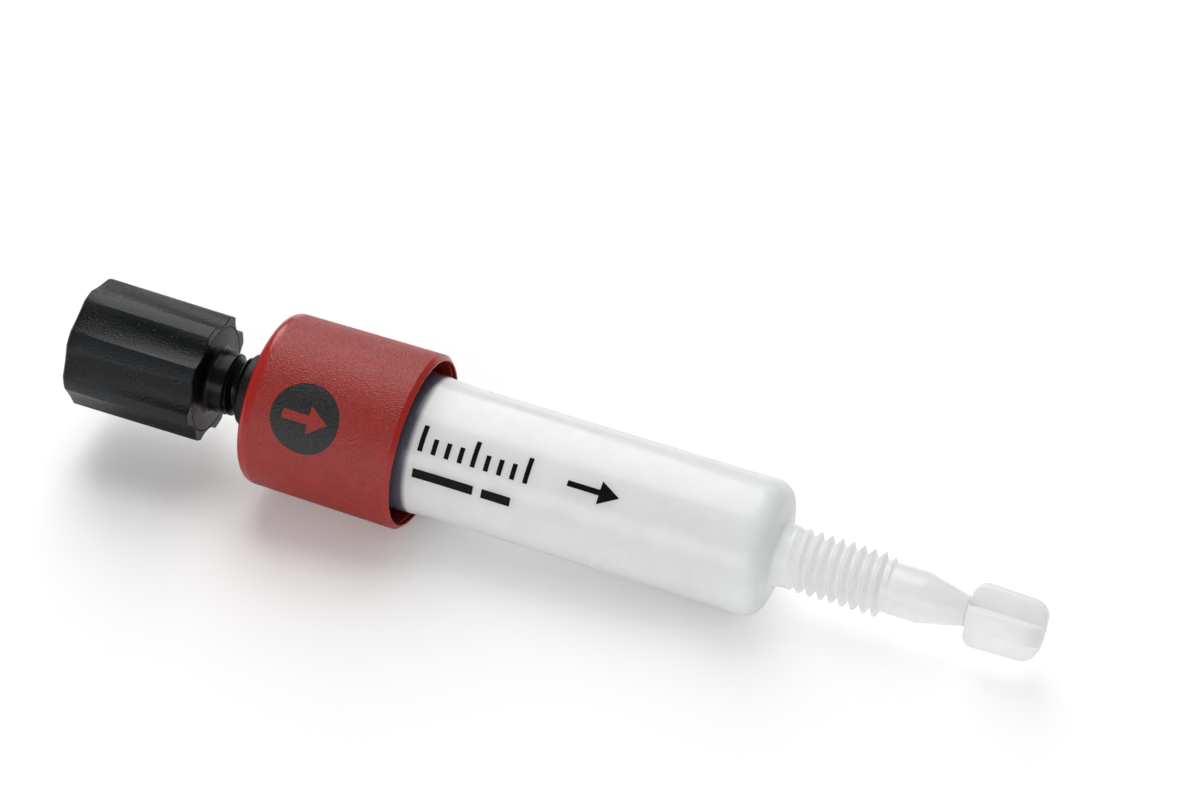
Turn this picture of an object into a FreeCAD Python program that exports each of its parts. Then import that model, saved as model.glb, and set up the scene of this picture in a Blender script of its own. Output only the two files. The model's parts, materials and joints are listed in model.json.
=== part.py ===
import FreeCAD, Part
import math
import os

# Prepacked 1 ml chromatography column, lying on its side with the inlet plug screwed in.
# Each piece is turned about X first, with x = 0 at the collar's mouth and +X towards the outlet,
# and is then laid down on the collar's rim and the barrel's shoulder. Millimetres and degrees.

# Bed and frits
BED_DIAMETER = 7.0
BED_LENGTH = 23.6
FRIT_THICKNESS = 0.8

# Barrel tube
BARREL_WALL = 1.47
FLARE_HEIGHT = 0.14
FLARE_END = 3.0
CREASE_X = 0.88
ROOT_SWELL = 0.27
FLOOR_THICKNESS = 2.55
SHOULDER_SWELL = 0.04
SHOULDER_SWELL_LENGTH = 1.8
SHOULDER_DOME = 0.28
SHOULDER_ROUND = 1.45
BARREL_FLANGE_HEIGHT = 0.75
BARREL_FLANGE_THICKNESS = 1.7

# Outlet: neck, threaded length at its major size, sealing nozzle
OUTLET_THREAD_RADIUS = 2.3
OUTLET_THREAD_LENGTH = 6.9
OUTLET_THREAD_CHAMFER = 0.4
NECK_LENGTH = 1.15
NECK_TAPER = 0.16
NECK_STEP = 0.09
NOZZLE_RADIUS = 1.84
NOZZLE_LENGTH = 2.4
NOZZLE_TIP_RADIUS = 1.1
NOZZLE_CONE_LENGTH = 2.95
OUTLET_CHANNEL_DIAMETER = 0.8
CHANNEL_END_WALL = 0.5

# Snap-off tab: four arms in a plus on a thin web
WEB_RADIUS = 0.6
WEB_LENGTH = 0.4
TAB_LENGTH = 5.35
TAB_ARM_RADIUS = 2.26
TAB_ARM_THICKNESS = 1.42
TAB_DRAFT = 0.14
TAB_CORNER_ROUND = 0.85
TAB_EDGE_CHAMFER = 0.1
TAB_ROLL = 55.0
TAB_END_DISH_RADIUS = 0.85
TAB_END_DISH_DEPTH = 0.45
GATE_NUB_RADIUS = 0.34
GATE_NUB_RECESS = 0.05

# Locking collar
COLLAR_LENGTH = 11.75
COLLAR_WALL = 0.41
COLLAR_INLET_WALL = 1.15
COLLAR_DRAFT = 0.12
COLLAR_INLET_ROUND = 0.8
COLLAR_LIP = 0.3
COLLAR_LIP_LAND = 0.12
COLLAR_BEAD_HEIGHT = 0.35
COLLAR_BEAD_LENGTH = 1.1
COLLAR_FLANGE_CLEARANCE = 0.42

# Inlet adapter
ADAPTER_FLANGE_THICKNESS = 1.7
ADAPTER_BOSS_RADIUS = 2.72
ADAPTER_BOSS_HEIGHT = 1.85
ADAPTER_BOSS_CHAMFER = 0.2
SPIGOT_LENGTH = 8.9
PORT_DEPTH = 6.35
INLET_CHANNEL_DIAMETER = 0.8
SEAL_SECTION = 1.1
SEAL_SIDES = 6
SEAL_SETBACK = 3.6

# Stop plug: threaded core and fluted knob
PLUG_THREAD_RADIUS = 2.25
PLUG_THREAD_CHAMFER = 0.4
PLUG_SHANK_RADIUS = 2.3
PLUG_SHANK_LENGTH = 1.45
PLUG_STAND_OFF = 2.65
PLUG_HEAD_RADIUS = 3.95
PLUG_HEAD_THICKNESS = 1.5
PLUG_HEAD_CHAMFER = 0.25
PLUG_SPINDLE_RADIUS = 2.9
PLUG_SPINDLE_LENGTH = 5.6
PLUG_NOSE_RADIUS = 1.74
PLUG_TIP_RADIUS = 1.2
PLUG_TIP_LENGTH = 0.8
KNOB_LENGTH = 10.1
KNOB_FLUTES = 8
KNOB_LAND_ANGLE = 13.5
KNOB_FLUTE_DEPTH = 0.6
KNOB_FLUTE_END_DEPTH = 0.23
KNOB_FLUTE_END_RADIUS = 6.0
KNOB_FLUTE_WALL = 0.13
KNOB_DRAFT = 0.08
KNOB_CHAMFER = 0.2
KNOB_ROLL = 4.5

# Clearances
SLIP_FIT = 0.03
RUNNING_FIT = 0.05
SEAT_GAP = 0.05
BOSS_CLEARANCE = 0.1
OVERLAP = 0.05
CUT_MARGIN = 1.0

# Radii that follow from the sizes above
BORE_RADIUS = BED_DIAMETER / 2
BARREL_RADIUS = BORE_RADIUS + BARREL_WALL
BARREL_FLANGE_RADIUS = BARREL_RADIUS + ROOT_SWELL + BARREL_FLANGE_HEIGHT
COLLAR_BORE_RADIUS = BARREL_FLANGE_RADIUS + SLIP_FIT + COLLAR_BEAD_HEIGHT - COLLAR_FLANGE_CLEARANCE / 2
COLLAR_RADIUS = COLLAR_BORE_RADIUS + COLLAR_WALL
ADAPTER_FLANGE_RADIUS = BARREL_FLANGE_RADIUS
PORT_RADIUS = PLUG_THREAD_RADIUS + RUNNING_FIT
KNOB_RADIUS = PLUG_HEAD_RADIUS + RUNNING_FIT + KNOB_FLUTE_WALL + KNOB_FLUTE_DEPTH

# Stations along the axis
COLLAR_INLET_X = -COLLAR_LENGTH
ADAPTER_FLANGE_X = COLLAR_INLET_X + COLLAR_INLET_WALL
SEAT_X = ADAPTER_FLANGE_X + ADAPTER_FLANGE_THICKNESS
SPIGOT_END_X = SEAT_X + SPIGOT_LENGTH
BED_START_X = SPIGOT_END_X + FRIT_THICKNESS
BED_END_X = BED_START_X + BED_LENGTH
FLOOR_X = BED_END_X + FRIT_THICKNESS
SHOULDER_X = FLOOR_X + FLOOR_THICKNESS
THREAD_START_X = SHOULDER_X + NECK_LENGTH
THREAD_END_X = THREAD_START_X + OUTLET_THREAD_LENGTH
CONE_START_X = THREAD_END_X + NOZZLE_LENGTH
TIP_X = CONE_START_X + NOZZLE_CONE_LENGTH
TAB_X = TIP_X + WEB_LENGTH
BOSS_X = COLLAR_INLET_X - ADAPTER_BOSS_HEIGHT
PORT_FLOOR_X = BOSS_X + PORT_DEPTH
PLUG_HEAD_X = BOSS_X - PLUG_STAND_OFF
KNOB_END_X = PLUG_HEAD_X - KNOB_LENGTH
SEAL_X = SEAT_X + SEAL_SETBACK

X_AXIS = FreeCAD.Vector(1, 0, 0)
ORIGIN = FreeCAD.Vector(0, 0, 0)


def corner_arc(before, corner, after, radius):
    """The points where an arc of this radius leaves and joins the two lines, and its middle."""
    back = (before - corner).normalize()
    ahead = (after - corner).normalize()
    half = back.getAngle(ahead) / 2
    reach = radius / math.tan(half)
    bisector = (back + ahead).normalize()
    middle = corner + bisector * (radius / math.sin(half) - radius)
    return corner + back * reach, middle, corner + ahead * reach


def outline(corners):
    """A closed wire in the XZ plane through (x, r) or (x, r, round) corners."""
    points = [FreeCAD.Vector(c[0], 0, c[1]) for c in corners]
    rounds = [c[2] if len(c) > 2 else 0 for c in corners]
    edges = []
    arcs = []
    for i, point in enumerate(points):
        if rounds[i]:
            before = points[i - 1]
            after = points[(i + 1) % len(points)]
            arcs.append(corner_arc(before, point, after, rounds[i]))
        else:
            arcs.append((point, None, point))
    for i, (start, middle, end) in enumerate(arcs):
        if middle is not None:
            edges.append(Part.Arc(start, middle, end).toShape())
        following = arcs[(i + 1) % len(arcs)][0]
        if end.distanceToPoint(following) > 1e-6:
            edges.append(Part.LineSegment(end, following).toShape())
    return Part.Wire(edges)


def turned(corners):
    """A solid of revolution about the column's axis."""
    return Part.Face(outline(corners)).revolve(ORIGIN, X_AXIS, 360)


def rod(start, end, radius):
    """A plain cylinder along the axis."""
    return Part.makeCylinder(radius, end - start, FreeCAD.Vector(start, 0, 0), X_AXIS)


def tab_arms():
    """The snap-off tab: four rounded arms, a dished far end and the gate's nub in the dish."""
    half = TAB_ARM_THICKNESS / 2
    end = TAB_X + TAB_LENGTH
    far = TAB_ARM_RADIUS - TAB_DRAFT
    plate_wire = outline([
        (TAB_X, -TAB_ARM_RADIUS, TAB_CORNER_ROUND),
        (end, -far, TAB_CORNER_ROUND),
        (end, far, TAB_CORNER_ROUND),
        (TAB_X, TAB_ARM_RADIUS, TAB_CORNER_ROUND),
    ])
    plate = Part.Face(plate_wire).extrude(FreeCAD.Vector(0, TAB_ARM_THICKNESS, 0))
    plate.translate(FreeCAD.Vector(0, -half, 0))
    plate = plate.makeChamfer(TAB_EDGE_CHAMFER, plate.Edges)
    crossing = plate.copy()
    crossing.rotate(ORIGIN, X_AXIS, 90)
    arms = plate.fuse(crossing)
    dish = turned([
        (end - TAB_END_DISH_DEPTH, 0),
        (end - TAB_END_DISH_DEPTH, GATE_NUB_RADIUS + OVERLAP),
        (end, TAB_END_DISH_RADIUS),
        (end + CUT_MARGIN, TAB_END_DISH_RADIUS),
        (end + CUT_MARGIN, 0),
    ])
    nub = rod(end - TAB_END_DISH_DEPTH - OVERLAP, end - GATE_NUB_RECESS, GATE_NUB_RADIUS)
    arms = arms.cut(dish).fuse(nub)
    arms.rotate(ORIGIN, X_AXIS, TAB_ROLL)
    return arms


def make_barrel():
    """One moulding: inlet flange, tube, floor, neck, outlet stem, nozzle, web and snap-off tab."""
    flange_back = SEAT_X + BARREL_FLANGE_THICKNESS
    root_radius = BARREL_RADIUS + ROOT_SWELL
    swell_x = SHOULDER_X - SHOULDER_DOME - SHOULDER_ROUND - SHOULDER_SWELL_LENGTH
    neck_radius = OUTLET_THREAD_RADIUS - NECK_STEP + NECK_TAPER
    neck_end_radius = OUTLET_THREAD_RADIUS - NECK_STEP
    shell = turned([
        (SEAT_X, 0),
        (SEAT_X, BARREL_FLANGE_RADIUS),
        (flange_back, BARREL_FLANGE_RADIUS),
        (flange_back, root_radius),
        (CREASE_X, BARREL_RADIUS + FLARE_HEIGHT),
        (FLARE_END, BARREL_RADIUS),
        (swell_x, BARREL_RADIUS),
        (SHOULDER_X - SHOULDER_DOME - SHOULDER_ROUND, BARREL_RADIUS + SHOULDER_SWELL),
        (SHOULDER_X - SHOULDER_DOME, BARREL_RADIUS + SHOULDER_SWELL, SHOULDER_ROUND),
        (SHOULDER_X, neck_radius),
        (THREAD_START_X, neck_end_radius),
        (THREAD_START_X + NECK_STEP, OUTLET_THREAD_RADIUS),
        (THREAD_END_X - OUTLET_THREAD_CHAMFER, OUTLET_THREAD_RADIUS),
        (THREAD_END_X, NOZZLE_RADIUS),
        (CONE_START_X, NOZZLE_RADIUS),
        (TIP_X, NOZZLE_TIP_RADIUS),
        (TIP_X, WEB_RADIUS),
        (TAB_X + OVERLAP, WEB_RADIUS),
        (TAB_X + OVERLAP, 0),
    ])
    barrel = shell.fuse(tab_arms()).removeSplitter()
    bore = rod(SEAT_X - CUT_MARGIN, FLOOR_X, BORE_RADIUS)
    channel = rod(FLOOR_X - OVERLAP, TIP_X - CHANNEL_END_WALL, OUTLET_CHANNEL_DIAMETER / 2)
    return barrel.cut([bore, channel])


def make_collar():
    """Snap-on collar: thin drafted skirt, inlet wall with the boss hole, and the bead that holds."""
    inlet_radius = COLLAR_RADIUS - COLLAR_DRAFT
    hole_radius = ADAPTER_BOSS_RADIUS + BOSS_CLEARANCE
    bead_start = SEAT_X + BARREL_FLANGE_THICKNESS + SLIP_FIT
    bead_end = bead_start + COLLAR_BEAD_LENGTH
    bead_radius = COLLAR_BORE_RADIUS - COLLAR_BEAD_HEIGHT
    return turned([
        (COLLAR_INLET_X, hole_radius),
        (COLLAR_INLET_X, inlet_radius, COLLAR_INLET_ROUND),
        (0, COLLAR_RADIUS),
        (COLLAR_LIP, COLLAR_BORE_RADIUS + COLLAR_LIP_LAND),
        (COLLAR_LIP, COLLAR_BORE_RADIUS),
        (bead_end, COLLAR_BORE_RADIUS),
        (bead_end - COLLAR_BEAD_HEIGHT, bead_radius),
        (bead_start, bead_radius),
        (bead_start, COLLAR_BORE_RADIUS),
        (ADAPTER_FLANGE_X, COLLAR_BORE_RADIUS),
        (ADAPTER_FLANGE_X, hole_radius),
    ])


def make_adapter():
    """Inlet adapter: boss with the plug's port, flange on the barrel's end, spigot in its bore."""
    spigot_radius = BORE_RADIUS - RUNNING_FIT
    groove_radius = BORE_RADIUS - SEAL_SECTION
    groove_half = SEAL_SECTION / 2 + SLIP_FIT
    channel_radius = INLET_CHANNEL_DIAMETER / 2
    return turned([
        (BOSS_X, PORT_RADIUS),
        (BOSS_X, ADAPTER_BOSS_RADIUS - ADAPTER_BOSS_CHAMFER),
        (BOSS_X + ADAPTER_BOSS_CHAMFER, ADAPTER_BOSS_RADIUS),
        (ADAPTER_FLANGE_X, ADAPTER_BOSS_RADIUS),
        (ADAPTER_FLANGE_X, ADAPTER_FLANGE_RADIUS),
        (SEAT_X, ADAPTER_FLANGE_RADIUS),
        (SEAT_X, spigot_radius),
        (SEAL_X - groove_half, spigot_radius),
        (SEAL_X - groove_half, groove_radius),
        (SEAL_X + groove_half, groove_radius),
        (SEAL_X + groove_half, spigot_radius),
        (SPIGOT_END_X, spigot_radius),
        (SPIGOT_END_X, channel_radius),
        (PORT_FLOOR_X, channel_radius),
        (PORT_FLOOR_X, PORT_RADIUS),
    ])


def make_seal():
    """Six-sided sealing ring in the spigot's groove, against the barrel's bore."""
    reach = SEAL_SECTION / 2 - SLIP_FIT
    middle = BORE_RADIUS - SEAL_SECTION / 2
    corners = []
    for i in range(SEAL_SIDES):
        turn = 2 * math.pi * (i + 0.5) / SEAL_SIDES
        corners.append((SEAL_X + reach * math.sin(turn), middle + reach * math.cos(turn)))
    return turned(corners)


def make_disc(start, thickness):
    """A frit or the gel bed: a disc or plug that fills the bore."""
    return rod(start, start + thickness, BORE_RADIUS - SLIP_FIT)


def make_plug_core():
    """The plug's core: tip, stem, shank, round head and the spindle inside the knob."""
    tip_x = PORT_FLOOR_X - SEAT_GAP
    thread_end = tip_x - PLUG_TIP_LENGTH
    shank_end = PLUG_HEAD_X + PLUG_SHANK_LENGTH
    head_back = PLUG_HEAD_X - PLUG_HEAD_THICKNESS
    spindle_end = head_back - PLUG_SPINDLE_LENGTH
    return turned([
        (spindle_end, 0),
        (spindle_end, PLUG_SPINDLE_RADIUS),
        (head_back, PLUG_SPINDLE_RADIUS),
        (head_back, PLUG_HEAD_RADIUS),
        (PLUG_HEAD_X, PLUG_HEAD_RADIUS),
        (PLUG_HEAD_X, PLUG_SHANK_RADIUS + PLUG_HEAD_CHAMFER),
        (PLUG_HEAD_X + PLUG_HEAD_CHAMFER, PLUG_SHANK_RADIUS),
        (shank_end, PLUG_SHANK_RADIUS),
        (shank_end, PLUG_THREAD_RADIUS),
        (thread_end - PLUG_THREAD_CHAMFER, PLUG_THREAD_RADIUS),
        (thread_end, PLUG_NOSE_RADIUS),
        (tip_x, PLUG_TIP_RADIUS),
        (tip_x, 0),
    ])


def flute_cutter():
    """A cone whose lowest line is the floor of one flute, deep at the head and shallow at the end."""
    half_gap = math.radians((360 / KNOB_FLUTES - KNOB_LAND_ANGLE) / 2)
    chord_half = KNOB_RADIUS * math.sin(half_gap)
    floor_radius = KNOB_RADIUS - KNOB_FLUTE_DEPTH
    sagitta = KNOB_RADIUS * math.cos(half_gap) - floor_radius
    flute_radius = (chord_half ** 2 + sagitta ** 2) / (2 * sagitta)
    end_floor = KNOB_RADIUS + KNOB_DRAFT - KNOB_FLUTE_END_DEPTH
    head_floor = FreeCAD.Vector(PLUG_HEAD_X, 0, floor_radius)
    head_middle = FreeCAD.Vector(PLUG_HEAD_X, 0, floor_radius + flute_radius)
    floor_line = FreeCAD.Vector(KNOB_END_X, 0, end_floor) - head_floor
    middle_line = FreeCAD.Vector(KNOB_END_X, 0, end_floor + KNOB_FLUTE_END_RADIUS) - head_middle
    margin = CUT_MARGIN / KNOB_LENGTH
    section = Part.makePolygon([
        head_middle - middle_line * margin,
        head_floor - floor_line * margin,
        head_floor + floor_line * (1 + margin),
        head_middle + middle_line * (1 + margin),
        head_middle - middle_line * margin,
    ])
    return Part.Face(section).revolve(head_middle, middle_line, 360)


def make_plug_knob():
    """The knob: drafted blank with a chamfered rim, conical flutes and a stepped blind socket."""
    head_back = PLUG_HEAD_X - PLUG_HEAD_THICKNESS
    spindle_end = head_back - PLUG_SPINDLE_LENGTH
    end_radius = KNOB_RADIUS + KNOB_DRAFT
    knob = turned([
        (KNOB_END_X, 0),
        (KNOB_END_X, end_radius - KNOB_CHAMFER),
        (KNOB_END_X + KNOB_CHAMFER, end_radius),
        (PLUG_HEAD_X, KNOB_RADIUS),
        (PLUG_HEAD_X, PLUG_HEAD_RADIUS + RUNNING_FIT),
        (head_back - SEAT_GAP, PLUG_HEAD_RADIUS + RUNNING_FIT),
        (head_back - SEAT_GAP, PLUG_SPINDLE_RADIUS + RUNNING_FIT),
        (spindle_end - SEAT_GAP, PLUG_SPINDLE_RADIUS + RUNNING_FIT),
        (spindle_end - SEAT_GAP, 0),
    ])
    cutter = flute_cutter()
    step = 360 / KNOB_FLUTES
    cutters = []
    for i in range(KNOB_FLUTES):
        flute = cutter.copy()
        flute.rotate(ORIGIN, X_AXIS, KNOB_ROLL + (i + 0.5) * step)
        cutters.append(flute)
    return knob.cut(cutters)


def rest_pose(solids):
    """The placement that lays the part on the collar's rim and the barrel's round shoulder."""
    arc_x = SHOULDER_X - SHOULDER_DOME - SHOULDER_ROUND
    arc_z = BARREL_RADIUS + SHOULDER_SWELL - SHOULDER_ROUND
    drop = COLLAR_RADIUS - arc_z
    tilt = math.atan2(drop, arc_x) - math.asin(SHOULDER_ROUND / math.hypot(drop, arc_x))
    turn = FreeCAD.Rotation(FreeCAD.Vector(0, 1, 0), math.degrees(tilt))
    lift = COLLAR_RADIUS * math.cos(tilt)
    whole = Part.makeCompound(solids)
    whole.Placement = FreeCAD.Placement(FreeCAD.Vector(0, 0, lift), turn)
    box = whole.optimalBoundingBox(False, False)
    middle = (box.XMin + box.XMax) / 2
    return FreeCAD.Placement(FreeCAD.Vector(-middle, 0, lift), turn)


def build():
    """All the column's pieces by node name, at rest on z = 0."""
    parts = {
        "barrel": make_barrel(),
        "locking_collar": make_collar(),
        "inlet_adapter": make_adapter(),
        "adapter_seal": make_seal(),
        "top_frit": make_disc(SPIGOT_END_X, FRIT_THICKNESS),
        "packed_bed": make_disc(BED_START_X, BED_LENGTH),
        "bottom_frit": make_disc(BED_END_X, FRIT_THICKNESS),
        "plug_core": make_plug_core(),
        "plug_knob": make_plug_knob(),
    }
    pose = rest_pose(list(parts.values()))
    for shape in parts.values():
        shape.transformShape(pose.toMatrix())
    return parts, pose


os.makedirs("parts", exist_ok=True)
parts, pose = build()
for name, shape in parts.items():
    shape.exportStep("parts/" + name + ".step")
    print(name, len(shape.Solids), "solid,", round(shape.Volume, 2), "mm3, valid", shape.isValid())
axis = pose.Rotation.multVec(X_AXIS)
mouth = pose.Base
print("axis towards the outlet", [round(v, 5) for v in axis])
print("collar mouth centre", [round(v, 4) for v in mouth])
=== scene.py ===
import json
import logging
from dataclasses import dataclass
from enum import Enum
from math import atan2, copysign, cos, hypot, pi, radians, sin, sqrt, tan, tau
from typing import Callable

import bmesh
import bpy
from bmesh.types import BMEdge, BMesh, BMVert
from bpy.types import Material, Node, NodeSocket, NodeTree, Object
from mathutils import Matrix, Vector


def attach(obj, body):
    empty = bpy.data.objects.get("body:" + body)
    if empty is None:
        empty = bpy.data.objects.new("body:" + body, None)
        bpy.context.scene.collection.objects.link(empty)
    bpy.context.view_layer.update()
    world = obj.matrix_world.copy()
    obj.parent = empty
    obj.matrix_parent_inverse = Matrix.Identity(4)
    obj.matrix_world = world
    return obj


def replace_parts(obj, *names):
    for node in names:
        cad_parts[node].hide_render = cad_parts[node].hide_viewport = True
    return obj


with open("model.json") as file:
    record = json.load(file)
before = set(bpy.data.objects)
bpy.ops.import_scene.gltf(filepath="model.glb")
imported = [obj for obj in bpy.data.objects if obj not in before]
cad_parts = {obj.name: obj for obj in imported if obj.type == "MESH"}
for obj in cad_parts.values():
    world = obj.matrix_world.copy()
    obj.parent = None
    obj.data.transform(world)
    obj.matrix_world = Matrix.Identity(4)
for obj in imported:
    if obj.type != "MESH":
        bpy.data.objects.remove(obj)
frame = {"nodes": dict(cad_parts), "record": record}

LOG = logging.getLogger("column")
MM = 0.001

# Distances in mm under which vertices merge, and under which two places are the same.
WELD = 1e-5
LOOSE_WELD = 1e-4
SAME_PLACE = 1e-3

COLUMN = "column"
CORE = "plug_core"
KNOB = "plug_knob"

# Where the collar's mouth lies and how far the outlet end dips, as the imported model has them.
GRIP_STATION = 3.0
GRIP = next(mount for mount in frame["record"]["mounts"] if mount["name"] == "barrel_grip")
AXIS = Vector(GRIP["axis"]).normalized()
MOUTH = Vector(GRIP["pos_m"]) - AXIS * GRIP_STATION * MM
DIP = atan2(-AXIS.z, AXIS.x)
PLACE = Matrix.Translation(MOUTH) @ Matrix.Rotation(DIP, 4, "Y") @ Matrix.Scale(MM, 4)

Corner = tuple[float, ...]
Path = list[tuple[float, float]]


class At:
    """Places along the column's axis in mm, from the collar's mouth towards the outlet."""

    KNOB_END = -26.35
    SPINDLE_END = -23.35
    HEAD_BACK = -17.75
    HEAD = -16.25
    SHANK_END = -14.8
    BOSS = -13.6
    COLLAR_INLET = -11.75
    COLLAR_WALL = -10.6
    SEAT = -8.9
    PORT_FLOOR = -7.25
    FLANGE_END = -7.2
    MOUTH = 0.0
    BED_START = 0.8
    CREASE = 0.88
    WAIST = 1.6
    PLAIN = GRIP_STATION
    BED_END = 24.4
    FLOOR = 25.2
    SHOULDER = 27.57
    THREAD = 28.9
    THREAD_END = 35.8
    CONE = 38.2
    TIP = 41.15
    TAB = 41.55
    TAB_END = 46.9


class Fit:
    """Sizes that two pieces share, in mm."""

    BORE = 3.5
    BARREL = 4.97
    WAIST = 5.02
    FLARE = 5.11
    FLANGE = 5.99
    PITCH = 0.79375
    THREAD_DEPTH = 0.487
    OUTLET_MAJOR = 2.3
    PLUG_MAJOR = 2.25
    PORT = 2.3
    HEAD = 3.95
    SPINDLE = 2.9
    GAP = 0.05
    CHANNEL = 0.4
    FINE = 0.05
    EDGE = 0.1
    SOFT = 0.2


# The outside of the tube from the collar to its plain part, as (along, radius).
WALL = ((At.CREASE, Fit.FLARE), (At.WAIST, Fit.WAIST), (At.PLAIN, Fit.BARREL))


def rounded(corners: list[Corner], segments: int = 6) -> Path:
    """An open path with its inner corners rounded.

    Args:
        corners: (along, radius) or (along, radius, rounding) in mm.
        segments: straight runs in each rounded corner.

    Returns:
        The points of the path.
    """
    path: Path = []
    for index, corner in enumerate(corners):
        here = Vector(corner[:2])
        if len(corner) < 3 or not 0 < index < len(corners) - 1:
            path.append((here.x, here.y))
            continue
        back = (Vector(corners[index - 1][:2]) - here).normalized()
        ahead = (Vector(corners[index + 1][:2]) - here).normalized()
        half = back.angle(ahead) / 2
        reach = corner[2] / tan(half)
        centre = here + (back + ahead).normalized() * corner[2] / sin(half)
        first = here + back * reach - centre
        sweep = first.angle_signed(here + ahead * reach - centre)
        for step in range(segments + 1):
            point = centre + Matrix.Rotation(-sweep * step / segments, 2) @ first
            path.append((point.x, point.y))
    return path


def lathe(bm: BMesh, path: Path, steps: int) -> None:
    """Spins a path round the column's axis.

    Args:
        bm: the mesh that gets the surface.
        path: (along, radius) points in mm; a radius of 0 closes the pole.
        steps: faces in the full turn.
    """
    verts = [bm.verts.new((along, 0.0, radius)) for along, radius in path]
    edges = [bm.edges.new(pair) for pair in zip(verts, verts[1:])]
    bmesh.ops.spin(bm, geom=verts + edges, cent=(0, 0, 0), axis=(1, 0, 0), dvec=(0, 0, 0),
                   angle=tau, steps=steps, use_merge=True, use_duplicate=False)
    bmesh.ops.remove_doubles(bm, verts=bm.verts[:], dist=WELD)


def ring_at(bm: BMesh, along: float) -> list[BMEdge]:
    """The open edges that lie at one place along the axis."""
    return [edge for edge in bm.edges
            if edge.is_boundary and all(abs(vert.co.x - along) < SAME_PLACE for vert in edge.verts)]


@dataclass
class ScrewThread:
    """A right-hand 60 degree thread, spun along a helix, whose groove rises out of a neck."""

    start: float
    end: float
    major: float
    phase: float
    neck: float
    fade: float = 1.2
    run_in: float = 0.15
    run_out: float = Fit.PITCH / 2
    crest_flat: float = 0.06
    flank: float = 30.0
    spare_turns: int = 2
    steps: int = 72

    @property
    def root(self) -> float:
        """The radius of the thread's root."""
        return self.major - Fit.THREAD_DEPTH

    def limits(self, along: float) -> tuple[float, float]:
        """The smallest and largest radius that the thread may have at one place."""
        ahead = along - self.start
        low = self.neck + (self.root - self.neck) * min(ahead / self.fade, 1.0)
        high = self.neck + (self.major - self.neck) * min(ahead / self.run_in, 1.0)
        out = self.root + Fit.THREAD_DEPTH * max(min((self.end - along) / self.run_out, 1.0), 0.0)
        return min(low, out), min(high, out)

    def build(self) -> BMesh:
        """Spins the teeth, trims both ends and draws the run-in and run-out.

        Returns:
            A mesh that is open at both ends.
        """
        bm = bmesh.new()
        half_crest = self.crest_flat / 2
        half_root = half_crest + Fit.THREAD_DEPTH * tan(radians(self.flank))
        shift = self.phase / 360 * Fit.PITCH - self.spare_turns * Fit.PITCH
        teeth = int((self.end - self.start) / Fit.PITCH) + 2 * self.spare_turns + 1
        path: Path = []
        for tooth in range(teeth):
            middle = self.start + shift + tooth * Fit.PITCH
            path += [(middle - half_root, self.root), (middle - half_crest, self.major),
                     (middle + half_crest, self.major), (middle + half_root, self.root)]
        verts = [bm.verts.new((along, 0.0, radius)) for along, radius in path]
        edges = [bm.edges.new(pair) for pair in zip(verts, verts[1:])]
        bmesh.ops.spin(bm, geom=verts + edges, cent=(0, 0, 0), axis=(1, 0, 0),
                       dvec=(Fit.PITCH / self.steps, 0, 0), angle=tau, steps=self.steps,
                       use_merge=False, use_duplicate=False)
        bmesh.ops.remove_doubles(bm, verts=bm.verts[:], dist=LOOSE_WELD)
        for place, side in ((self.start, -1), (self.end, 1)):
            bmesh.ops.bisect_plane(bm, geom=bm.verts[:] + bm.edges[:] + bm.faces[:], dist=WELD,
                                   plane_co=(place, 0, 0), plane_no=(side, 0, 0), clear_outer=True)
        for vert in bm.verts:
            radius = hypot(vert.co.y, vert.co.z)
            low, high = self.limits(vert.co.x)
            scale = max(min(radius, high), low) / radius
            vert.co.y *= scale
            vert.co.z *= scale
        return bm


def join(bm: BMesh, other: BMesh) -> None:
    """Moves everything in other into bm, and frees other."""
    mesh = bpy.data.meshes.new("joined")
    other.to_mesh(mesh)
    other.free()
    bm.from_mesh(mesh)
    bpy.data.meshes.remove(mesh)


def finished(bm: BMesh, name: str, body: str, sharp: float) -> Object:
    """Turns a mesh in column millimetres into a finished piece of the scene.

    Args:
        bm: the mesh; it is freed.
        name: the piece's name.
        body: the moving body that carries it.
        sharp: faces that meet at more than this angle, in degrees, keep a crisp edge.

    Returns:
        The new object, with its place in its mesh.
    """
    bmesh.ops.remove_doubles(bm, verts=bm.verts[:], dist=WELD)
    bmesh.ops.recalc_face_normals(bm, faces=bm.faces[:])
    bmesh.ops.transform(bm, matrix=PLACE, verts=bm.verts[:])
    mesh = bpy.data.meshes.new(name)
    bm.to_mesh(mesh)
    bm.free()
    mesh.shade_smooth()
    mesh.set_sharp_from_angle(angle=radians(sharp))
    piece = bpy.data.objects.new(name, mesh)
    bpy.context.scene.collection.objects.link(piece)
    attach(piece, body)
    LOG.info("%s: %d faces", name, len(mesh.polygons))
    return piece


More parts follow.
